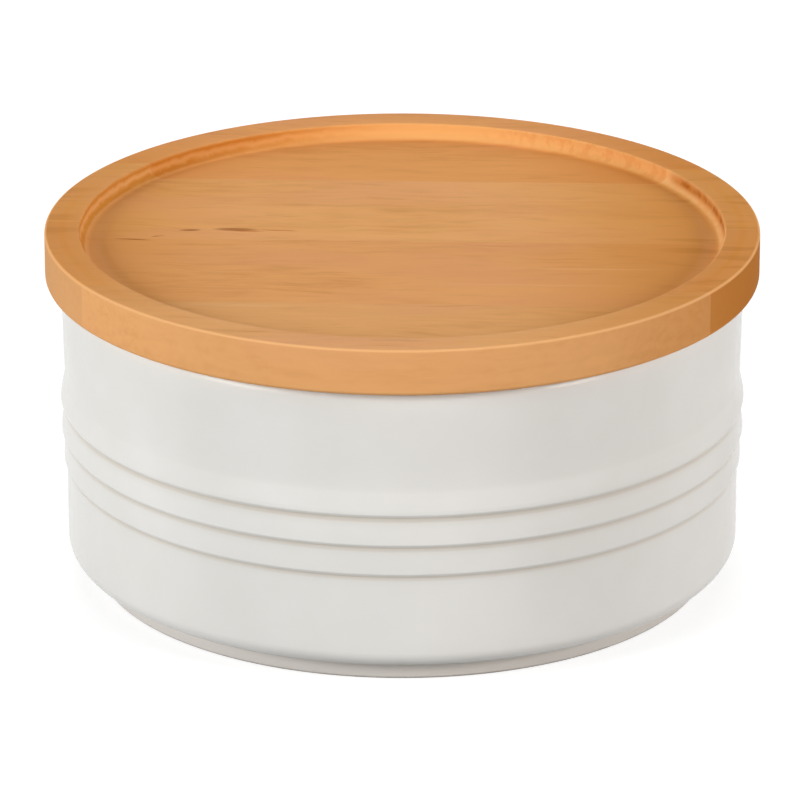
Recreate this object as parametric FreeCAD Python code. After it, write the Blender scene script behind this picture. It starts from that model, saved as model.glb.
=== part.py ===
import FreeCAD, Part
import math
import os

# Storage jar with a lift-off lid: a glazed stoneware body with three stepped rings,
# a turned lid glued up from four wooden staves, and a silicone seal round the lid's plug.
# Millimetres, +Z up, origin at the middle of the base, front towards -Y.

# Stoneware body: the mouth takes the lid's plug, and the wall stands outside it
jar_height = 61.2
mouth_radius = 61.5
wall_thickness = 4.8
floor_thickness = 4.4
floor_corner_round = 8.0

# Neck, as distances out from the lower wall and up from the upper ring's lip
rim_stand_out = 0.7
rim_outer_round = 2.0
rim_inner_round = 1.5
waist_stand_out = 0.21
waist_rise = 4.7
waist_round = 6.2

# Three rings, each a rolled lip over a fine groove and a ledge set back under it.
# The lowest ledge runs straight into the lower wall.
upper_lip_height = 36.1
ring_pitch = 6.1
upper_lip_stand_out = 1.04
middle_lip_stand_out = 0.94
lip_round = 0.45
lip_groove_depth = 0.95
lip_groove_drop = 0.5
ledge_step = 0.55
ledge_drop = 1.6

# Base corner, foot ring and underside
base_corner_round = 3.9
foot_inset = 5.6
foot_height = 4.1
foot_width = 4.6
foot_edge_round = 0.7
foot_inner_slope = 1.2
underside_rise = 2.3

# Lid: a board turned with a raised rim above, a plug below and a groove for the seal.
# The recess inside the rim takes the foot of a second jar stacked on the first.
lid_overhang = 3.0
lid_rim_height = 9.2
lid_top_round = 0.9
lid_lower_round = 0.7
recess_depth = 3.2
recess_cove_round = 2.0
stacking_clearance = 0.4
plug_clearance = 1.5
plug_depth = 9.0
plug_round = 1.2
seal_groove_drop = 2.4
seal_groove_height = 4.2
seal_groove_depth = 2.6

# Lid staves: the front and back ones reach in from the rim, two more share the middle,
# and the grain is turned a little from the X axis
end_stave_width = 34.0
grain_turn_degrees = -2.0

# Seal: a band in the groove with two swept-up lips that taper to an edge
seal_play = 0.15
seal_wall_clearance = 0.3
seal_lip_root = 1.3
seal_lip_sweep = 0.45

# Overrun of the blocks that part the staves
cut_overrun = 5.0

# Chords that draw a rounding: one on fine edges, more at the broad corners inside and at the base
fine_chord_count = 1
broad_chord_count = 3

# Share of a side that its two roundings may fill together
side_fill_share = 0.98

# Places worked out from the sizes above
base_wall_radius = mouth_radius + wall_thickness
rim_radius = base_wall_radius + rim_stand_out
foot_radius = base_wall_radius - foot_inset
jar_floor_height = underside_rise + floor_thickness
lid_radius = rim_radius + lid_overhang
lid_top_height = jar_height + lid_rim_height
recess_radius = foot_radius + stacking_clearance + recess_cove_round
recess_floor_height = lid_top_height - recess_depth
plug_radius = mouth_radius - plug_clearance
plug_bottom_height = jar_height - plug_depth
groove_top_height = jar_height - seal_groove_drop
groove_bottom_height = groove_top_height - seal_groove_height
groove_radius = plug_radius - seal_groove_depth


def sharp(radius, height):
    """Corner of an outline with no rounding."""
    return radius, height, 0, 0


def half_corner_angles(points):
    """Half the angle between the two sides that meet at each corner."""
    count = len(points)
    angles = []
    for index, corner in enumerate(points):
        back = points[index - 1] - corner
        ahead = points[(index + 1) % count] - corner
        angles.append(back.getAngle(ahead) / 2)
    return angles


def rounding_reaches(points, roundings, half_angles):
    """Distance from each corner to the ends of its tangent arc, limited where a side is short."""
    count = len(points)
    reaches = [rounding / math.tan(half) for rounding, half in zip(roundings, half_angles)]
    limits = []
    for index in range(count):
        following = (index + 1) % count
        length = points[index].distanceToPoint(points[following]) * side_fill_share
        limits.append(length / max(length, reaches[index] + reaches[following]))
    return [reaches[index] * min(limits[index - 1], limits[index]) for index in range(count)]


def arc_points(corner, back, ahead, reach, half_angle, chords):
    """Points that divide the arc tangent to both sides of a corner into equal chords."""
    centre = corner + (back + ahead).normalize() * (reach / math.cos(half_angle))
    to_start = corner + back * reach - centre
    to_end = corner + ahead * reach - centre
    sweep = math.pi - 2 * half_angle
    points = []
    for step in range(chords + 1):
        turn = sweep * step / chords
        blend = to_start * math.sin(sweep - turn) + to_end * math.sin(turn)
        points.append(centre + blend * (1 / math.sin(sweep)))
    return points


def rounded_outline(corners):
    """Closed XZ wire through (radius, height, rounding, chords) corners."""
    points = [FreeCAD.Vector(radius, 0, height) for radius, height, rounding, chords in corners]
    half_angles = half_corner_angles(points)
    reaches = rounding_reaches(points, [corner[2] for corner in corners], half_angles)
    outline = []
    for index, (radius, height, rounding, chords) in enumerate(corners):
        corner = points[index]
        back = (points[index - 1] - corner).normalize()
        ahead = (points[(index + 1) % len(points)] - corner).normalize()
        if chords:
            outline += arc_points(corner, back, ahead, reaches[index], half_angles[index], chords)
        else:
            outline.append(corner)
    return Part.makePolygon(outline + outline[:1])


def turned(corners):
    """Solid of revolution about Z from an outline of corners."""
    face = Part.Face(rounded_outline(corners))
    return face.revolve(FreeCAD.Vector(0, 0, 0), FreeCAD.Vector(0, 0, 1), 360)


def ring_corners(lip_stand_out, lip_height):
    """Corners of one ring's edge: the lip, the groove under it and the ledge below."""
    lip_radius = base_wall_radius + lip_stand_out
    return [
        (lip_radius, lip_height, lip_round, fine_chord_count),
        sharp(lip_radius - lip_groove_depth, lip_height - lip_groove_drop),
        sharp(lip_radius - ledge_step, lip_height - ledge_drop),
    ]


def stoneware_jar():
    """Body turned in one piece: inside, rim, neck, rings, lower wall, foot ring and underside."""
    waist_radius = base_wall_radius + waist_stand_out
    foot_inner_radius = foot_radius - foot_width
    corners = [
        sharp(0, jar_floor_height),
        (mouth_radius, jar_floor_height, floor_corner_round, broad_chord_count),
        (mouth_radius, jar_height, rim_inner_round, fine_chord_count),
        (rim_radius, jar_height, rim_outer_round, fine_chord_count),
        (waist_radius, upper_lip_height + waist_rise, waist_round, fine_chord_count),
    ]
    stand_outs = [upper_lip_stand_out, middle_lip_stand_out, ledge_step]
    for index, stand_out in enumerate(stand_outs):
        corners += ring_corners(stand_out, upper_lip_height - index * ring_pitch)
    corners += [
        (base_wall_radius, foot_height, base_corner_round, broad_chord_count),
        sharp(foot_radius, foot_height),
        (foot_radius, 0, foot_edge_round, fine_chord_count),
        sharp(foot_inner_radius, 0),
        sharp(foot_inner_radius - foot_inner_slope, underside_rise),
        sharp(0, underside_rise),
    ]
    return turned(corners)


def lid_board():
    """Whole lid before it is parted into staves: rim, recess, plug and seal groove."""
    corners = [
        sharp(0, plug_bottom_height),
        (plug_radius, plug_bottom_height, plug_round, fine_chord_count),
        sharp(plug_radius, groove_bottom_height),
        sharp(groove_radius, groove_bottom_height),
        sharp(groove_radius, groove_top_height),
        sharp(plug_radius, groove_top_height),
        sharp(plug_radius, jar_height),
        (lid_radius, jar_height, lid_lower_round, fine_chord_count),
        (lid_radius, lid_top_height, lid_top_round, fine_chord_count),
        sharp(recess_radius, lid_top_height),
        (recess_radius, recess_floor_height, recess_cove_round, fine_chord_count),
        sharp(0, recess_floor_height),
    ]
    return turned(corners)


def stave_block(near, far):
    """Block between two glue planes, turned with the grain."""
    reach = lid_radius + cut_overrun
    height = lid_rim_height + plug_depth + 2 * cut_overrun
    block = Part.makeBox(2 * reach, far - near, height)
    block.translate(FreeCAD.Vector(-reach, near, plug_bottom_height - cut_overrun))
    block.rotate(FreeCAD.Vector(0, 0, 0), FreeCAD.Vector(0, 0, 1), grain_turn_degrees)
    return block


def lid_staves():
    """Four staves, front to back, meeting face to face at the glue planes."""
    board = lid_board()
    reach = lid_radius + cut_overrun
    end_plane = lid_radius - end_stave_width
    planes = [-reach, -end_plane, 0, end_plane, reach]
    places = ["front", "middle_front", "middle_back", "back"]
    staves = {}
    for place, near, far in zip(places, planes, planes[1:]):
        staves["lid_stave_" + place] = board.common(stave_block(near, far)).Solids[0]
    return staves


def silicone_seal():
    """Band seated in the plug's groove, with lips that reach nearly to the jar's wall."""
    inner_radius = groove_radius + seal_play
    tip_radius = mouth_radius - seal_wall_clearance
    bottom = groove_bottom_height + seal_play
    top = groove_top_height - seal_play
    corners = [sharp(inner_radius, bottom), sharp(inner_radius, top)]
    for lip_top in (top, bottom + seal_lip_root):
        corners += [
            sharp(plug_radius, lip_top),
            sharp(tip_radius, lip_top + seal_lip_sweep),
            sharp(plug_radius, lip_top - seal_lip_root),
        ]
    return turned(corners)


os.makedirs("parts", exist_ok=True)
nodes = {"stoneware_jar": stoneware_jar(), "silicone_seal": silicone_seal()}
nodes.update(lid_staves())
for name, shape in nodes.items():
    shape.exportStep("parts/" + name + ".step")
    print(name, "valid" if shape.isValid() else "not valid", "volume %.0f" % shape.Volume)
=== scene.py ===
import math

import bmesh
import bpy
from mathutils import Matrix, Vector


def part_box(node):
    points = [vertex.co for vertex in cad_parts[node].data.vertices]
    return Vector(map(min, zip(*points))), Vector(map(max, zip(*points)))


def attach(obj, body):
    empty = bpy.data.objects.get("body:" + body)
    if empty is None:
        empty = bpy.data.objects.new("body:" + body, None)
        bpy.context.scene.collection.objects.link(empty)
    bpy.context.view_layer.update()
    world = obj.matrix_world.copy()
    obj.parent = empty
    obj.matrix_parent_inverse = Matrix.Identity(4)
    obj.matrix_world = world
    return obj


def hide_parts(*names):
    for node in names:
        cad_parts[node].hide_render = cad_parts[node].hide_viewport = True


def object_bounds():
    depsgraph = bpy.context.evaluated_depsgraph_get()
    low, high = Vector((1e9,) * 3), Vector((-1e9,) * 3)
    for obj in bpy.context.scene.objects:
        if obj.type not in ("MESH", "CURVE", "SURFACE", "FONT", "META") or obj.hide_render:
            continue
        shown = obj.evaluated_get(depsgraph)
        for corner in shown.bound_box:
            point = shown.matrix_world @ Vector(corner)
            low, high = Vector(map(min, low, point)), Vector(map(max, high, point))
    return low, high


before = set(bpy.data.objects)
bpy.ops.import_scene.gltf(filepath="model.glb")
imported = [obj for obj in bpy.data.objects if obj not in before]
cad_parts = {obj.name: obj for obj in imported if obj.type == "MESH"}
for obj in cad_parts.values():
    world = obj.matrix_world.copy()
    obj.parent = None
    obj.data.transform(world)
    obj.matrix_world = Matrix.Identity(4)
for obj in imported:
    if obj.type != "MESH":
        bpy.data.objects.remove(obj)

# Storage jar: glazed stoneware body, turned wooden lid glued up from four staves, silicone seal.
# Outlines are (radius, height, rounding) corners in millimetres, scaled to metres when they are turned.

MM = 0.001
cad_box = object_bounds()

# Heights and the lid's radius, read from the frame
jar_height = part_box("stoneware_jar")[1].z / MM
lid_top_height = cad_box[1].z / MM
lid_radius = cad_box[1].x / MM
plug_bottom_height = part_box("lid_stave_front")[0].z / MM
seal_bottom_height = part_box("silicone_seal")[0].z / MM

# Body: rim, wall and inside
lid_overhang = 3.0
rim_stand_out = 0.7
rim_outer_round = 2.5
rim_inner_round = 1.5
wall_thickness = 4.8
floor_thickness = 4.4
inner_floor_round = 8.0

# Neck and the brow over the upper ring, as distances out from the lower wall and up from the upper lip
waist_stand_out = 0.2
waist_rise = 4.7
waist_round = 6.2
brow_rise = 0.75
brow_inset = 0.03
brow_round = 3.1

# Rings from the top one down, as distances out from the lower wall
lip_stand_outs = (1.04, 0.94, 0.54)
upper_lip_height = 36.22
ring_pitch = 6.1
lip_round = 0.4
lip_groove_depth = 0.47
lip_groove_drop = 0.8
lip_groove_round = 0.35
ledge_step = 0.55
ledge_drop = 1.6
ledge_round = 1.6

# Base corner, foot ring and underside
base_corner_round = 3.6
foot_inset = 5.6
foot_height = 4.1
foot_crease_round = 0.5
foot_edge_round = 0.7
foot_width = 4.6
foot_inner_slope = 1.2
underside_rise = 2.3
underside_round = 1.0

# Lid: rim, recess for the foot of a second jar, plug and the groove for the seal
lid_top_round = 0.5
lid_lower_round = 0.9
stacking_clearance = 0.4
recess_depth = 3.2
recess_edge_round = 0.4
recess_cove_round = 2.0
plug_clearance = 1.5
plug_round = 1.2
plug_crease_round = 0.5
seal_groove_depth = 2.6
seal_groove_drop = 2.4
seal_groove_height = 4.2
seal_groove_edge_round = 0.25

# Staves: width of the front and back ones, turn of the grain and half the width of a glue line
end_stave_width = 34.0
grain_turn = math.radians(-2.0)
half_glue_line = 0.015

# Seal: a band with two swept-up lips
seal_play = 0.15
seal_wall_clearance = 0.3
seal_lip_root = 1.3
seal_lip_sweep = 0.45
seal_edge_round = 0.12

# Radii and heights worked out from the sizes above
rim_radius = lid_radius - lid_overhang
wall_radius = rim_radius - rim_stand_out
mouth_radius = wall_radius - wall_thickness
foot_radius = wall_radius - foot_inset
inner_floor_height = underside_rise + floor_thickness
recess_radius = foot_radius + stacking_clearance + recess_cove_round
plug_radius = mouth_radius - plug_clearance
seal_groove_radius = plug_radius - seal_groove_depth

# Fineness of the turned meshes
arc_step = math.radians(9)
fewest_arc_steps = 2
longest_run = 3.0
turn_segments = 256
sharp_angle = math.radians(35)

# How far the marks of edges and grooves spread along an outline
jar_edge_spread = 0.5
jar_groove_spread = 0.7
lid_edge_spread = 0.2

# Studio, in metres and degrees: a floor just below the foot, lamps and a camera round one point
floor_radius = 8.0
floor_segments = 64
floor_drop = 0.1 * MM
aim_point = Vector((0, 0, 33.87 * MM))
lamp_distance = 1.3
camera_distance = 1.3
camera_elevation = 20.89
camera_lens = 295.9
camera_sensor = 36.0
camera_shift = -0.0028

# The back lamp stands where the lid would mirror it, so it is kept out of reflections
LAMPS = {
    "key_light": {
        "azimuth": -54.5, "elevation": 17.5, "size": (0.57, 0.5), "power": 14.5,
        "tint": (1.0, 0.99, 0.985), "mirrored": True,
    },
    "fill_light": {
        "azimuth": 57, "elevation": 17.5, "size": (0.37, 0.5), "power": 11.8,
        "tint": (1.0, 0.955, 0.93), "mirrored": True,
    },
    "back_light": {
        "azimuth": 180, "elevation": 25, "size": (0.9, 0.9), "power": 7.5,
        "tint": (1.0, 1.0, 1.0), "mirrored": False,
    },
    "top_light": {
        "azimuth": 0, "elevation": 85, "size": (0.9, 0.9), "power": 2.8,
        "tint": (1.0, 1.0, 1.0), "mirrored": True,
    },
}


def arc(corner, back, ahead, rounding):
    """Points of the arc of that radius, tangent to the two sides that leave a corner."""
    half = back.angle(ahead) / 2
    centre = corner + (back + ahead).normalized() * (rounding / math.sin(half))
    reach = rounding / math.tan(half)
    to_start = corner + back * reach - centre
    to_end = corner + ahead * reach - centre
    sweep = math.pi - 2 * half
    steps = max(fewest_arc_steps, math.ceil(sweep / arc_step))
    points = []
    for step in range(steps + 1):
        turn = sweep * step / steps
        blend = to_start * math.sin(sweep - turn) + to_end * math.sin(turn)
        points.append(centre + blend / math.sin(sweep))
    return points


def rounded_outline(corners, closed):
    """Points through the corners, with arcs at the rounded ones and long runs divided."""
    points = [Vector((radius, height)) for radius, height, rounding in corners]
    outline = []
    for index, (radius, height, rounding) in enumerate(corners):
        corner = points[index]
        if rounding:
            back = (points[index - 1] - corner).normalized()
            ahead = (points[(index + 1) % len(points)] - corner).normalized()
            outline += arc(corner, back, ahead, rounding)
        else:
            outline.append(corner)
    if closed:
        outline.append(outline[0])
    divided = [outline[0]]
    for start, end in zip(outline, outline[1:]):
        steps = math.ceil((end - start).length / longest_run)
        divided += [start.lerp(end, (step + 1) / steps) for step in range(steps)]
    return divided[:-1] if closed else divided


def turns_near(outline, spread, sense):
    """How far an open outline turns near each point: clockwise bends for a sense of 1, others for -1."""
    places = [0.0]
    turns = [0.0]
    for before, point, after in zip(outline, outline[1:], outline[2:]):
        places.append(places[-1] + (point - before).length)
        turns.append(max(0.0, sense * (point - before).angle_signed(after - point)))
    places.append(places[-1] + (outline[-1] - outline[-2]).length)
    turns.append(0.0)
    smooth = []
    for here in places:
        weights = [math.exp(-(((here - place) / spread) ** 2)) for place in places]
        smooth.append(sum(weight * turn for weight, turn in zip(weights, turns)))
    return smooth


def turned(outline, closed, marks=None):
    """Surface turned about Z. Each list of marks, one for each outline point, becomes a vertex layer."""
    shape = bmesh.new()
    layers = {shape.verts.layers.float.new(name): values for name, values in (marks or {}).items()}
    rings = []
    for index, (radius, height) in enumerate(outline):
        count = turn_segments if radius > 0 else 1
        ring = []
        for step in range(count):
            angle = 2 * math.pi * step / count
            place = Vector((radius * math.cos(angle), radius * math.sin(angle), height))
            vertex = shape.verts.new(place * MM)
            for layer, values in layers.items():
                vertex[layer] = values[index]
            ring.append(vertex)
        rings.append(ring)
    following = rings[1:] + rings[:1] if closed else rings[1:]
    for ring, other in zip(rings, following):
        for step in range(turn_segments):
            corners = [ring[step % len(ring)], ring[(step + 1) % turn_segments % len(ring)]]
            corners += [other[(step + 1) % turn_segments % len(other)], other[step % len(other)]]
            shape.faces.new(list(dict.fromkeys(corners)))
    bmesh.ops.recalc_face_normals(shape, faces=shape.faces)
    return shape


def piece(name, shape, material, body, node):
    """Object from a finished shape, standing for a node of the frame and moving with its body."""
    mesh = bpy.data.meshes.new(name)
    shape.to_mesh(mesh)
    shape.free()
    mesh.shade_smooth()
    mesh.set_sharp_from_angle(angle=sharp_angle)
    mesh.materials.append(material)
    made = bpy.data.objects.new(name, mesh)
    bpy.context.scene.collection.objects.link(made)
    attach(made, body)
    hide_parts(node)


def ring_corners(lip_radius, lip_height):
    """One ring's edge: the rolled lip, the groove under it and the ledge below."""
    return [
        (lip_radius, lip_height, lip_round),
        (lip_radius - lip_groove_depth, lip_height - lip_groove_drop, lip_groove_round),
        (lip_radius - ledge_step, lip_height - ledge_drop, ledge_round),
    ]


def jar_corners():
    """From the middle of the inner floor over the rim and down to the middle of the underside."""
    upper_lip_radius = wall_radius + lip_stand_outs[0]
    foot_inner_radius = foot_radius - foot_width
    corners = [
        (0, inner_floor_height, 0),
        (mouth_radius, inner_floor_height, inner_floor_round),
        (mouth_radius, jar_height, rim_inner_round),
        (rim_radius, jar_height, rim_outer_round),
        (wall_radius + waist_stand_out, upper_lip_height + waist_rise, waist_round),
        (upper_lip_radius - brow_inset, upper_lip_height + brow_rise, brow_round),
    ]
    for index, stand_out in enumerate(lip_stand_outs):
        corners += ring_corners(wall_radius + stand_out, upper_lip_height - index * ring_pitch)
    corners += [
        (wall_radius, foot_height, base_corner_round),
        (foot_radius, foot_height, foot_crease_round),
        (foot_radius, 0, foot_edge_round),
        (foot_inner_radius, 0, foot_edge_round),
        (foot_inner_radius - foot_inner_slope, underside_rise, underside_round),
        (0, underside_rise, 0),
    ]
    return corners


def lid_corners():
    """From the middle of the plug's underside round the rim to the middle of the recess."""
    recess_height = lid_top_height - recess_depth
    seal_groove_top = jar_height - seal_groove_drop
    seal_groove_bottom = seal_groove_top - seal_groove_height
    return [
        (0, plug_bottom_height, 0),
        (plug_radius, plug_bottom_height, plug_round),
        (plug_radius, seal_groove_bottom, seal_groove_edge_round),
        (seal_groove_radius, seal_groove_bottom, 0),
        (seal_groove_radius, seal_groove_top, 0),
        (plug_radius, seal_groove_top, seal_groove_edge_round),
        (plug_radius, jar_height, plug_crease_round),
        (lid_radius, jar_height, lid_lower_round),
        (lid_radius, lid_top_height, lid_top_round),
        (recess_radius, lid_top_height, recess_edge_round),
        (recess_radius, recess_height, recess_cove_round),
        (0, recess_height, 0),
    ]


def seal_corners():
    """Band in the groove and its two lips, which taper to soft edges."""
    inner_radius = seal_groove_radius + seal_play
    tip_radius = mouth_radius - seal_wall_clearance
    top = seal_bottom_height + seal_groove_height - 2 * seal_play
    corners = [
        (inner_radius, seal_bottom_height, seal_edge_round),
        (inner_radius, top, seal_edge_round),
    ]
    for lip_top in (top, seal_bottom_height + seal_lip_root):
        corners += [
            (plug_radius, lip_top, seal_edge_round),
            (tip_radius, lip_top + seal_lip_sweep, seal_edge_round),
            (plug_radius, lip_top - seal_lip_root, seal_edge_round),
        ]
    return corners


def cut_away(shape, plane, keep_side):
    """Cuts a shape at a glue plane, closes the cut and keeps the side towards keep_side along Y."""
    normal = Matrix.Rotation(grain_turn, 3, "Z") @ Vector((0, -keep_side, 0))
    cut = bmesh.ops.bisect_plane(
        shape,
        geom=shape.verts[:] + shape.edges[:] + shape.faces[:],
        plane_co=normal * (-keep_side * plane - half_glue_line) * MM,
        plane_no=normal,
        clear_outer=True,
    )
    edges = [part for part in cut["geom_cut"] if isinstance(part, bmesh.types.BMEdge)]
    bmesh.ops.holes_fill(shape, edges=edges)


def colour(red, green, blue):
    """Scene-linear colour from sRGB values of 0 to 255, by the sRGB formula."""
    linear = []
    for value in (red, green, blue):
        share = value / 255
        linear.append(share / 12.92 if share <= 0.04045 else ((share + 0.055) / 1.055) ** 2.4)
    return (*linear, 1.0)


class Nodes:
    """Node tree of a material or the world, with short ways to add and join its nodes."""

    def __init__(self, tree):
        self.tree = tree
        tree.nodes.clear()

    def add(self, kind, settings=None, inputs=None):
        """New node with its settings, and each input set to a value or joined to an output."""
        made = self.tree.nodes.new("ShaderNode" + kind)
        for name, value in (settings or {}).items():
            setattr(made, name, value)
        for name, value in (inputs or {}).items():
            if isinstance(value, bpy.types.NodeSocket):
                self.tree.links.new(value, made.inputs[name])
            else:
                made.inputs[name].default_value = value
        return made

    def math(self, operation, *values):
        """Output of a Math node."""
        return self.add("Math", {"operation": operation}, dict(enumerate(values))).outputs[0]

    def product(self, first, *others):
        """Values multiplied together."""
        result = first
        for other in others:
            result = self.math("MULTIPLY", result, other)
        return result

    def attribute(self, name):
        """Vertex layer of the mesh."""
        return self.add("Attribute", {"attribute_name": name}).outputs["Fac"]

    def split(self, vector):
        """X, Y and Z of a vector."""
        return self.add("SeparateXYZ", None, {0: vector}).outputs

    def joined(self, x=0.0, y=0.0, z=0.0):
        """Vector from its X, Y and Z."""
        return self.add("CombineXYZ", None, {"X": x, "Y": y, "Z": z}).outputs[0]

    def length(self, vector):
        """Length of a vector."""
        return self.add("VectorMath", {"operation": "LENGTH"}, {0: vector}).outputs["Value"]

    def mapped(self, vector, scale=(1, 1, 1), location=(0, 0, 0), turn=0):
        """Vector scaled, turned about Z and moved."""
        inputs = {"Vector": vector, "Scale": scale, "Location": location, "Rotation": (0, 0, turn)}
        return self.add("Mapping", None, inputs).outputs[0]

    def noise(self, vector, scale=1.0, detail=2.0, roughness=0.5):
        """Noise from 0 to 1 with its middle near a half."""
        inputs = {"Vector": vector, "Scale": scale, "Detail": detail, "Roughness": roughness}
        return self.add("TexNoise", None, inputs).outputs[0]

    def between(self, value, low, high, to_low=0.0, to_high=1.0):
        """Smooth step of a value from low to high."""
        inputs = {"Value": value, "From Min": low, "From Max": high, "To Min": to_low, "To Max": to_high}
        return self.add("MapRange", {"interpolation_type": "SMOOTHSTEP"}, inputs).outputs[0]

    def ramp(self, value, stops):
        """Colour ramp through (place, colour) stops."""
        made = self.add("ValToRGB", None, {0: value})
        elements = made.color_ramp.elements
        while len(elements) < len(stops):
            elements.new(1.0)
        for element, (place, tone) in zip(elements, stops):
            element.position = place
            element.color = tone
        return made.outputs[0]

    def mix(self, share, first, second):
        """Mix of two colours."""
        return self.add("Mix", {"data_type": "RGBA"}, {0: share, 6: first, 7: second}).outputs[2]

    def mix_values(self, share, first, second):
        """Mix of two numbers."""
        return self.add("Mix", None, {0: share, 2: first, 3: second}).outputs[0]

    def bump(self, relief, strength, distance):
        """Normal bent by a relief."""
        inputs = {"Strength": strength, "Distance": distance, "Height": relief}
        return self.add("Bump", None, inputs).outputs[0]

    def surface(self, inputs):
        """Principled shader with those inputs, joined to the material's output."""
        shader = self.add("BsdfPrincipled", None, inputs)
        self.add("OutputMaterial", None, {"Surface": shader.outputs[0]})


def new_material(name):
    """Empty material and its nodes."""
    material = bpy.data.materials.new(name)
    material.use_nodes = True
    return material, Nodes(material.node_tree)


# Middle part of a noise, where most of its values lie
NOISE_RANGE = (0.3, 0.7)


def noise_stops(tones):
    """Stops of a ramp that spreads two colours over the middle part of a noise."""
    return list(zip(NOISE_RANGE, tones))


# Glaze and clay: colours, and the scales of their noises per metre
GLAZE_TONES = (colour(217, 217, 213), colour(223, 223, 220))
THIN_GLAZE_TONE = colour(206, 190, 168)
POOLED_GLAZE_TONE = colour(195, 184, 167)
FOOT_RING_TONE = colour(205, 201, 195)
CLAY_TONES = (colour(164, 155, 146), colour(192, 184, 175))
GLAZE_SCALES = {"clouds": 45.0, "flecks": 420.0, "grit": 2600.0}


def glaze_material():
    """Off-white glaze: thin and warm on the edges, pooled in the grooves, wiped off under the foot."""
    edge_range = (0.5, 1.3)
    thin_shares = (0.1, 0.35)
    groove_range = (0.08, 0.7)
    pooled_share = 0.85
    fleck_height = 0.4 * MM
    foot_ring_range = (4.1 * MM, 3.3 * MM)
    wiped_height = 0.2 * MM
    wiped_blur = 0.1 * MM
    gloss_range = (0.19, 0.25)
    clay_roughness = 0.8
    grit_relief = 0.6

    material, nodes = new_material("glazed_stoneware")
    place = nodes.add("TexCoord").outputs["Object"]
    height = nodes.split(place)["Z"]
    clouds = nodes.noise(place, GLAZE_SCALES["clouds"], detail=3.0)
    flecks = nodes.noise(place, GLAZE_SCALES["flecks"])
    grit = nodes.noise(place, GLAZE_SCALES["grit"], detail=3.0)

    tone = nodes.ramp(clouds, noise_stops(GLAZE_TONES))
    uneven = nodes.between(flecks, *NOISE_RANGE, *thin_shares)
    thin = nodes.product(nodes.between(nodes.attribute("edge"), *edge_range), uneven)
    tone = nodes.mix(thin, tone, THIN_GLAZE_TONE)
    pooled = nodes.between(nodes.attribute("groove"), *groove_range, 0.0, pooled_share)
    tone = nodes.mix(pooled, tone, POOLED_GLAZE_TONE)
    # Darker tone on the foot ring, below the base corner, with an uneven upper edge
    foot_ring = nodes.between(nodes.math("MULTIPLY_ADD", flecks, fleck_height, height), *foot_ring_range)
    tone = nodes.mix(foot_ring, tone, FOOT_RING_TONE)

    wiped_edge = nodes.math("MULTIPLY_ADD", flecks, fleck_height, wiped_height)
    bare = nodes.between(nodes.math("SUBTRACT", wiped_edge, height), -wiped_blur, wiped_blur)
    tone = nodes.mix(bare, tone, nodes.ramp(grit, noise_stops(CLAY_TONES)))
    gloss = nodes.between(clouds, *NOISE_RANGE, *gloss_range)
    relief = nodes.math("MULTIPLY_ADD", grit, nodes.product(bare, grit_relief), flecks)
    nodes.surface({
        "Base Color": tone,
        "Roughness": nodes.mix_values(bare, gloss, clay_roughness),
        "Normal": nodes.bump(relief, strength=0.08, distance=0.2 * MM),
        "Specular IOR Level": 0.11,
    })
    return material


# Staves from front to back: colour, heart of the tree as (y, z) and shift of the figure in millimetres,
# how much painted shade darkens the right-hand end of the rim's outside, and how much painted reflection
# pales its left-hand end
STAVES = {
    "front": {
        "tone": (227, 167, 106), "heart": (-60, -40), "shift": 0, "right_end_shade": 0.55, "left_end_reflection": 0.05,
    },
    "middle_front": {
        "tone": (229, 165, 102), "heart": (-10, -70), "shift": 310, "right_end_shade": 0.88, "left_end_reflection": 0.55,
    },
    "middle_back": {
        "tone": (233, 171, 107), "heart": (50, 160), "shift": 640, "right_end_shade": 0.88, "left_end_reflection": 0.55,
    },
    "back": {
        "tone": (229, 160, 93), "heart": (90, -30), "shift": 970, "right_end_shade": 0.7, "left_end_reflection": 0.4,
    },
}

# Streaks on the recess floor: stave, then middle along and across the grain, half length and half width
# in millimetres, and slope
MINERAL_STREAKS = (
    ("middle_front", -52.7, -0.8, 4.2, 0.5, -0.1),
    ("middle_back", -48.0, 1.3, 1.6, 0.3, 0.3),
    ("middle_back", -42.0, 5.0, 2.6, 0.8, 0.1),
    ("middle_back", -33.0, 5.7, 5.2, 1.1, 0.0),
)
RED_STREAKS = (
    ("middle_back", -30.6, 4.9, 4.0, 0.6, -0.04),
    ("middle_back", -24.5, 5.4, 5.0, 0.4, -0.04),
)
PALE_STREAKS = (
    ("middle_front", 34.0, -15.0, 24.0, 0.5, 0.0),
    ("middle_front", 24.0, -24.4, 26.0, 0.5, 0.0),
    ("front", -30.0, -37.6, 14.0, 1.3, 0.0),
)

# Strength and colour of each kind of streak, in the order they are laid
STREAK_KINDS = (
    (RED_STREAKS, 0.55, colour(188, 96, 30)),
    (MINERAL_STREAKS, 0.65, colour(142, 74, 0)),
    (PALE_STREAKS, 0.2, colour(242, 196, 146)),
)

# Dark patch on the recess wall, drawn like a broad streak
WALL_PATCHES = (("middle_back", 59.5, 20.0, 11.0, 28.0, 0.0),)

# Wood noises: scale along, across and through the board per metre, and where each one is read
WOOD_SCALES = {
    "sway": (14, 30, 30),
    "ripple": (40, 90, 90),
    "fibre": (85, 700, 700),
    "blotch": (22, 70, 70),
    "rosy": (16, 55, 55),
    "pores": (70, 560, 560),
    "end_lines": (45, 420, 420),
    "waver": (260, 260, 260),
    "tears": (550, 550, 380),
}
WOOD_OFFSETS = {"rosy": (7, 3, 1), "pores": (3, 5, 0), "end_lines": (1, 8, 0)}
GROWTH_SCALE = 330.0

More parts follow.
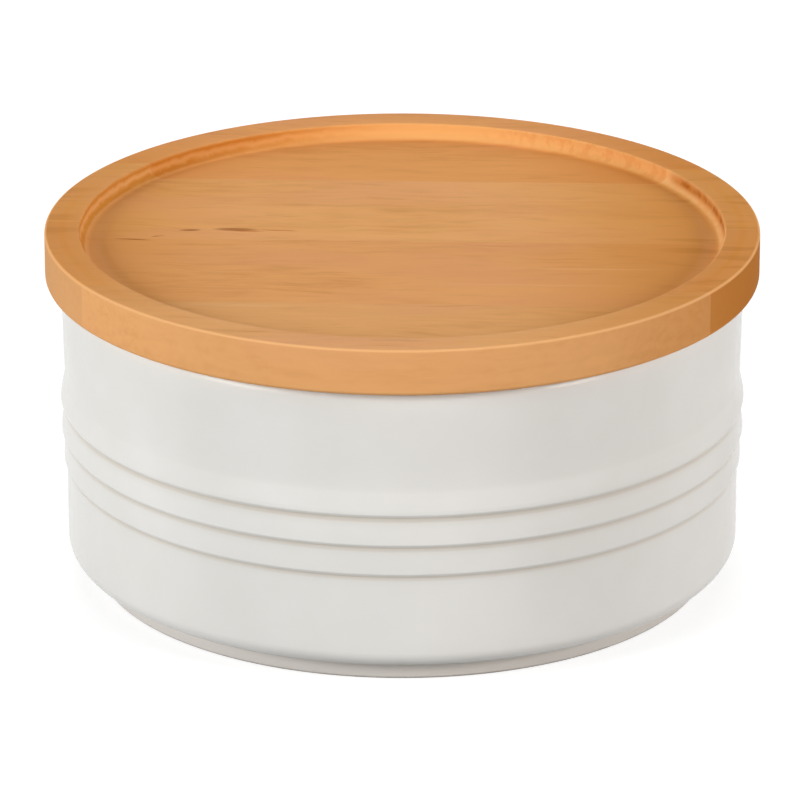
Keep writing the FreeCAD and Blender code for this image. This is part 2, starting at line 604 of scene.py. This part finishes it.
# Shares of a stave's red, green and blue light in the layers of its colour
TINT_SHARES = {
    "dark_fibre": (0.88, 0.83, 0.74),
    "light_fibre": (1.05, 1.07, 1.1),
    "rosy": (0.99, 0.95, 1.2),
    "pores": (0.78, 0.68, 0.55),
    # The ends' deeper colour leaves the middle of the top paler as a painted sheen
    "ends": (0.82, 0.66, 0.3),
    "end_lines": (0.66, 0.5, 0.2),
    "cut": (0.86, 0.87, 0.95),
    # Painted light, then painted shade, on the recess wall
    "painted_wall_light": (1.01, 1.22, 1.36),
    "painted_wall_shade": (0.66, 0.42, 0.02),
    # Painted shade on the rim's right-hand end and a painted reflection on its left-hand end
    "painted_end_shade": (0.52, 0.37, 0.1),
    "painted_end_reflection": (0.75, 0.87, 1.15),
    "patch": (0.44, 0.24, 0.01),
    "tears": (0.85, 0.7, 0.5),
    # Painted highlight on the rim's edges
    "painted_rim_highlight": (1.06, 1.17, 1.35),
}

# Radius that parts the recess wall from the outside of the rim, and the blur on both sides of it
rim_parting = 65.5
rim_parting_blur = 1.0


class Board:
    """Places, directions and masks on one stave, which the layers of its colour share."""

    def __init__(self, nodes, stave_name):
        grain_drift = 6.0 * MM
        flat_range = (0.5, 0.9)
        wall_range = (0.97, 0.8)

        self.nodes = nodes
        self.name = stave_name
        self.stave = STAVES[stave_name]
        coordinates = nodes.add("TexCoord").outputs
        self.place = nodes.mapped(coordinates["Object"], turn=-grain_turn)
        self.along, self.across, self.height = nodes.split(self.place)
        self.depth = nodes.math("SUBTRACT", lid_top_height * MM, self.height)
        self.radius = nodes.length(nodes.joined(x=self.along, y=self.across))

        self.shifted = nodes.mapped(self.place, location=(self.stave["shift"] * MM, 0, 0))
        drift = nodes.joined(y=nodes.product(self.noise("ripple", self.shifted), grain_drift))
        waved = nodes.add("VectorMath", {"operation": "ADD"}, {0: self.shifted, 1: drift})
        self.waved = waved.outputs[0]
        self.fibre = self.noise("fibre", self.waved, detail=4.0, roughness=0.6)
        self.waver = self.noise("waver", self.place, detail=4.0, roughness=0.6)

        normal = nodes.split(nodes.mapped(coordinates["Normal"], turn=-grain_turn))
        self.facing = normal["X"]
        self.flat = nodes.between(nodes.math("ABSOLUTE", normal["Z"]), *flat_range)
        self.cut = nodes.math("SUBTRACT", 1.0, self.flat)
        parting = rim_parting * MM
        blur = rim_parting_blur * MM
        within = nodes.between(self.radius, parting, parting - blur)
        beyond = nodes.between(self.radius, parting, parting + blur)
        self.inside = nodes.product(nodes.between(normal["Z"], *wall_range), within)
        self.outside = nodes.product(self.cut, beyond)

    def noise(self, name, vector, **settings):
        """One of the wood's noises."""
        offset = WOOD_OFFSETS.get(name, (0, 0, 0))
        return self.nodes.noise(self.nodes.mapped(vector, WOOD_SCALES[name], offset), **settings)

    def tint(self, name):
        """The stave's colour with each channel's light scaled for a layer."""
        light = colour(*self.stave["tone"])
        return (*(value * share for value, share in zip(light, TINT_SHARES[name])), 1.0)

    def spindle(self, across, streak):
        """Soft spindle along the grain, 1 in its middle."""
        nodes = self.nodes
        middle_along, middle_across, half_length, half_width, slope = streak[1:]
        from_middle = nodes.math("SUBTRACT", self.along, middle_along * MM)
        drift = nodes.math("MULTIPLY_ADD", from_middle, slope, middle_across * MM)
        far_along = nodes.math("DIVIDE", from_middle, half_length * MM)
        far_across = nodes.math("DIVIDE", nodes.math("SUBTRACT", across, drift), half_width * MM)
        squares = [nodes.product(far, far) for far in (far_along, far_across)]
        return nodes.between(nodes.math("ADD", *squares), 1.0, 0.0)


def wood_figure(nodes, board):
    """Base colour: growth bands round the tree's heart, fibres, broad blotches and rosy clouds."""
    ring_sway = 12.0 * MM
    growth_share, fibre_share, blotch_share = 0.2, 0.5, 0.3
    dark_place, middle_place, light_place = 0.36, 0.5, 0.64
    rosy_range = (0.45, 0.65)
    rosy_share = 0.5

    heart_across, heart_height = board.stave["heart"]
    from_heart = nodes.joined(
        y=nodes.math("SUBTRACT", board.across, heart_across * MM),
        z=nodes.math("SUBTRACT", board.height, heart_height * MM),
    )
    sway = board.noise("sway", board.shifted, detail=3.0)
    ring = nodes.math("MULTIPLY_ADD", sway, ring_sway, nodes.length(from_heart))
    bands = {"W": ring, "Scale": GROWTH_SCALE, "Detail": 2.0}
    growth = nodes.add("TexNoise", {"noise_dimensions": "1D"}, bands).outputs[0]
    figure = nodes.product(growth, growth_share)
    figure = nodes.math("MULTIPLY_ADD", board.fibre, fibre_share, figure)
    figure = nodes.math("MULTIPLY_ADD", board.noise("blotch", board.waved), blotch_share, figure)
    tone = nodes.ramp(figure, [
        (dark_place, board.tint("dark_fibre")),
        (middle_place, colour(*board.stave["tone"])),
        (light_place, board.tint("light_fibre")),
    ])
    rosy = nodes.between(board.noise("rosy", board.waved), *rosy_range, 0.0, rosy_share)
    return nodes.mix(rosy, tone, board.tint("rosy"))


def pore_mask(nodes, board):
    """Short pores along the grain, fainter on cut faces."""
    pore_range = (0.62, 0.74)
    flat_share, cut_share = 0.28, 0.08
    strength = nodes.math("MULTIPLY_ADD", board.flat, flat_share, cut_share)
    return nodes.product(nodes.between(board.noise("pores", board.waved), *pore_range), strength)


def sheen_falloff_and_end_lines(nodes, board, tone):
    """Deeper colour on top towards both ends of the grain, so that the middle stays paler as a painted
    sheen, and the grain's own dark lines near the ends.
    """
    middle_shift = 6.0 * MM
    sheen_falloff_range = (20.0 * MM, 70.0 * MM)
    sheen_falloff_share = 0.8
    line_range = (0.5, 0.7)
    line_share = 0.5
    line_reach = (50.0 * MM, 66.0 * MM)

    far_along = nodes.math("ABSOLUTE", nodes.math("ADD", board.along, middle_shift))
    # Painted sheen: the top deepens in colour away from its middle
    sheen_falloff = nodes.product(board.flat, nodes.between(far_along, *sheen_falloff_range, 0.0, sheen_falloff_share))
    tone = nodes.mix(sheen_falloff, tone, board.tint("ends"))
    lines = nodes.between(board.noise("end_lines", board.waved), *line_range, 0.0, line_share)
    lines = nodes.product(lines, board.flat, nodes.between(far_along, *line_reach))
    return nodes.mix(lines, tone, board.tint("end_lines"))


def recess_wall(nodes, board, tone):
    """Wall of the recess: paler and yellower as painted light, least where it faces left, and darker as
    painted shade, in stripes along its height, where it faces right, away from the key lamp.
    """
    wall_light_range, wall_light_shares = (-0.95, -0.4), (0.15, 0.6)
    stripe_waver = 1.8 * MM
    stripe_rate = 3.0 / MM
    stripe_start = -4.2
    stripe_share, plain_share = 0.45, 0.35
    wall_shade_range = (-0.05, 0.6)

    # Painted light on the recess wall, paler and yellower
    painted_wall_light = nodes.product(board.inside, nodes.between(board.facing, *wall_light_range, *wall_light_shares))
    tone = nodes.mix(painted_wall_light, tone, board.tint("painted_wall_light"))
    level = nodes.math("MULTIPLY_ADD", board.waver, stripe_waver, board.depth)
    phase = nodes.math("MULTIPLY_ADD", level, stripe_rate, stripe_start)
    stripes = nodes.math("MULTIPLY_ADD", nodes.math("COSINE", phase), 0.5, 0.5)
    strength = nodes.math("MULTIPLY_ADD", stripes, stripe_share, plain_share)
    # Painted shade where the wall faces right, deepest in the stripes
    painted_wall_shade = nodes.product(strength, nodes.between(board.facing, *wall_shade_range), board.inside)
    return nodes.mix(painted_wall_shade, tone, board.tint("painted_wall_shade"))


def rim_end_shade_and_reflection(nodes, board, tone):
    """Outside of the rim at the ends of the grain: darker as painted shade where it faces right, paler
    and bluer as a painted reflection of the floor where it faces left.
    """
    end_shade_range = (0.45, 1.0)
    end_reflection_range = (-0.3, -1.0)
    # Painted shade on the right-hand end
    painted_end_shade = nodes.between(board.facing, *end_shade_range, 0.0, board.stave["right_end_shade"])
    tone = nodes.mix(nodes.product(board.outside, painted_end_shade), tone, board.tint("painted_end_shade"))
    # Painted reflection of the floor on the left-hand end
    painted_end_reflection = nodes.between(board.facing, *end_reflection_range, 0.0, board.stave["left_end_reflection"])
    return nodes.mix(nodes.product(board.outside, painted_end_reflection), tone, board.tint("painted_end_reflection"))


def wall_patch(nodes, board, patch, tone):
    """Dark patch on the upper part of the recess wall."""
    spread_range = (0.0, 0.8)
    patch_height = 2.8 * MM
    darkest_depth = 1.4 * MM
    top_share = 0.5
    uneven_shares = (0.75, 1.0)
    mask = nodes.product(
        nodes.between(board.spindle(board.across, patch), *spread_range),
        board.inside,
        nodes.between(board.depth, patch_height, darkest_depth),
        nodes.between(board.depth, 0.0, darkest_depth, top_share, 1.0),
        nodes.between(board.waver, *NOISE_RANGE, *uneven_shares),
    )
    return nodes.mix(mask, tone, board.tint("patch"))


def tear_mask(nodes, board):
    """Rough spots on the recess wall where the cutter tore end grain that faces left."""
    tear_range = (0.45, 0.6)
    facing_range = (-0.1, -0.5)
    tears = nodes.between(board.noise("tears", board.place, detail=3.0), *tear_range)
    return nodes.product(board.inside, tears, nodes.between(board.facing, *facing_range))


def painted_edge_highlight(nodes, board, tone):
    """Painted highlight, paler and bluer, on the edges of the rim, stronger on the outer one."""
    edge_range = (0.3, 0.8)
    highlight_reach, highlight_shares = (64.0 * MM, 68.0 * MM), (0.15, 0.9)
    painted_rim_highlight = nodes.between(nodes.attribute("edge"), *edge_range)
    painted_rim_highlight = nodes.product(painted_rim_highlight, nodes.between(board.radius, *highlight_reach, *highlight_shares))
    return nodes.mix(painted_rim_highlight, tone, board.tint("painted_rim_highlight"))


def streaked(nodes, board, tone):
    """Mineral, red and pale streaks, with sides that waver with the fibres."""
    waver = 1.2 * MM
    middle = nodes.math("ADD", board.across, -waver / 2)
    wavering = nodes.math("MULTIPLY_ADD", board.fibre, waver, middle)
    for streaks, share, streak_tone in STREAK_KINDS:
        for streak in streaks:
            if streak[0] == board.name:
                tone = nodes.mix(nodes.product(board.spindle(wavering, streak), share), tone, streak_tone)
    return tone


def wood_material(stave_name):
    """Lacquered wood cut from its own place in a tree, with layers for each kind of cut."""
    cut_share = 0.5
    tear_share = 0.35
    lacquer_range = (0.46, 0.56)
    cut_roughness = 0.75
    pore_relief, tear_relief = -1.0, -1.5

    material, nodes = new_material("lid_wood_" + stave_name)
    board = Board(nodes, stave_name)
    pores = pore_mask(nodes, board)
    tears = tear_mask(nodes, board)
    tone = nodes.mix(pores, wood_figure(nodes, board), board.tint("pores"))
    # Painted sheen on the top, and the grain's dark lines near its ends
    tone = sheen_falloff_and_end_lines(nodes, board, tone)
    tone = nodes.mix(nodes.product(board.cut, cut_share), tone, board.tint("cut"))
    # Painted light and painted shade on the recess wall
    tone = recess_wall(nodes, board, tone)
    # Painted shade and a painted reflection on the rim's ends
    tone = rim_end_shade_and_reflection(nodes, board, tone)
    for patch in WALL_PATCHES:
        if patch[0] == stave_name:
            tone = wall_patch(nodes, board, patch, tone)
    tone = nodes.mix(nodes.product(tears, tear_share), tone, board.tint("tears"))
    # Painted highlight on the rim's edges
    tone = painted_edge_highlight(nodes, board, tone)
    tone = streaked(nodes, board, tone)

    lacquer = nodes.between(board.fibre, *NOISE_RANGE, *lacquer_range)
    relief = nodes.math("MULTIPLY_ADD", pores, pore_relief, board.fibre)
    relief = nodes.math("MULTIPLY_ADD", tears, tear_relief, relief)
    nodes.surface({
        "Base Color": tone,
        "Roughness": nodes.mix_values(board.cut, lacquer, cut_roughness),
        "Normal": nodes.bump(relief, strength=0.1, distance=0.2 * MM),
        "Specular IOR Level": 0.05,
    })
    return material


def silicone_material():
    """Milky silicone with a dusty, slightly uneven surface."""
    haze_scale, dust_scale = 60.0, 900.0
    haze_tones = (colour(222, 222, 215), colour(233, 233, 228))
    dust_range = (0.42, 0.58)

    material, nodes = new_material("silicone")
    place = nodes.add("TexCoord").outputs["Object"]
    dust = nodes.noise(place, dust_scale, detail=3.0)
    nodes.surface({
        "Base Color": nodes.ramp(nodes.noise(place, haze_scale), noise_stops(haze_tones)),
        "Roughness": nodes.between(dust, *NOISE_RANGE, *dust_range),
        "Normal": nodes.bump(dust, strength=0.1, distance=0.1 * MM),
        "Subsurface Weight": 0.4,
        "Subsurface Radius": (1, 1, 1),
        "Subsurface Scale": 2.0 * MM,
    })
    return material


def floor_material():
    """Pale floor that keeps the shadow, white to the camera and in reflections, and clear from below."""
    matt_tone = (0.34, 0.34, 0.34, 1)
    glow_strength = 0.79

    material, nodes = new_material("studio_floor")
    ray = nodes.add("LightPath").outputs
    seen = nodes.math("MAXIMUM", ray["Is Camera Ray"], ray["Is Glossy Ray"])
    seen = nodes.math("MAXIMUM", seen, ray["Is Transmission Ray"])
    matt = nodes.add("BsdfDiffuse", None, {"Color": matt_tone})
    glow = nodes.add("Emission", None, {"Strength": nodes.product(seen, glow_strength)})
    both = nodes.add("AddShader", None, {0: matt.outputs[0], 1: glow.outputs[0]})
    below = nodes.add("NewGeometry").outputs["Backfacing"]
    clear = nodes.add("BsdfTransparent")
    one_sided = nodes.add("MixShader", None, {0: below, 1: both.outputs[0], 2: clear.outputs[0]})
    nodes.add("OutputMaterial", None, {"Surface": one_sided.outputs[0]})
    return material


def make_jar():
    """Body, whose outline bends clockwise at its edges."""
    outline = rounded_outline(jar_corners(), closed=False)
    marks = {
        "edge": turns_near(outline, jar_edge_spread, 1),
        "groove": turns_near(outline, jar_groove_spread, -1),
    }
    shape = turned(outline, closed=False, marks=marks)
    piece("stoneware_body", shape, glaze_material(), "jar", "stoneware_jar")


def make_lid():
    """Staves between the glue planes, turned from an outline that bends anticlockwise at its edges."""
    outline = rounded_outline(lid_corners(), closed=False)
    marks = {"edge": turns_near(outline, lid_edge_spread, -1)}
    end_plane = lid_radius - end_stave_width
    planes = (None, -end_plane, 0, end_plane, None)
    for stave_name, near_plane, far_plane in zip(STAVES, planes, planes[1:]):
        shape = turned(outline, closed=False, marks=marks)
        for plane, keep_side in ((near_plane, 1), (far_plane, -1)):
            if plane is not None:
                cut_away(shape, plane, keep_side)
        bmesh.ops.recalc_face_normals(shape, faces=shape.faces)
        material = wood_material(stave_name)
        piece("wood_stave_" + stave_name, shape, material, "lid", "lid_stave_" + stave_name)


def make_seal():
    """Ring in the plug's groove."""
    outline = rounded_outline(seal_corners(), closed=True)
    shape = turned(outline, closed=True)
    piece("seal_ring", shape, silicone_material(), "seal", "silicone_seal")


def make_floor():
    """Round floor that the object stands on."""
    mesh = bpy.data.meshes.new("studio_floor")
    shape = bmesh.new()
    bmesh.ops.create_circle(shape, cap_ends=True, segments=floor_segments, radius=floor_radius)
    shape.to_mesh(mesh)
    shape.free()
    mesh.materials.append(floor_material())
    floor = bpy.data.objects.new("studio_floor", mesh)
    floor.location.z = -floor_drop
    bpy.context.scene.collection.objects.link(floor)


def towards(azimuth, elevation):
    """Unit vector from the object towards a place round it. Azimuth 0 is the front, 90 the right."""
    turn, rise = math.radians(azimuth), math.radians(elevation)
    return Vector((math.sin(turn) * math.cos(rise), -math.cos(turn) * math.cos(rise), math.sin(rise)))


def aimed(name, data, azimuth, elevation, distance):
    """Lamp or camera placed round the object and aimed at it."""
    made = bpy.data.objects.new(name, data)
    direction = towards(azimuth, elevation)
    made.location = aim_point + direction * distance
    made.rotation_euler = direction.to_track_quat("Z", "Y").to_euler()
    bpy.context.scene.collection.objects.link(made)
    return made


def make_lamps():
    """Rectangular area lamps."""
    for name, lamp in LAMPS.items():
        data = bpy.data.lights.new(name, "AREA")
        data.shape = "RECTANGLE"
        data.size, data.size_y = lamp["size"]
        data.energy = lamp["power"]
        data.color = lamp["tint"]
        made = aimed(name, data, lamp["azimuth"], lamp["elevation"], lamp_distance)
        made.visible_glossy = lamp["mirrored"]


def make_world():
    """Soft white room light, brighter behind the object."""
    front_to_back = (-0.3, 0.5)
    front_level, back_level = 0.08, 0.2

    world = bpy.data.worlds.new("studio")
    world.use_nodes = True
    bpy.context.scene.world = world
    nodes = Nodes(world.node_tree)
    backward = nodes.split(nodes.add("TexCoord").outputs["Generated"])["Y"]
    level = nodes.between(backward, *front_to_back, front_level, back_level)
    light = nodes.add("Background", None, {"Color": (1, 1, 1, 1), "Strength": level})
    nodes.add("OutputWorld", None, {"Surface": light.outputs[0]})


def make_camera():
    """Camera of the photograph: long lens, slightly above, square to the front."""
    data = bpy.data.cameras.new("camera")
    data.sensor_width = camera_sensor
    data.lens = camera_lens
    data.shift_x = camera_shift
    bpy.context.scene.camera = aimed("camera", data, 0, camera_elevation, camera_distance)


make_jar()
make_lid()
make_seal()
make_floor()
make_world()
make_lamps()
make_camera()
bpy.context.scene.view_settings.view_transform = "Standard"
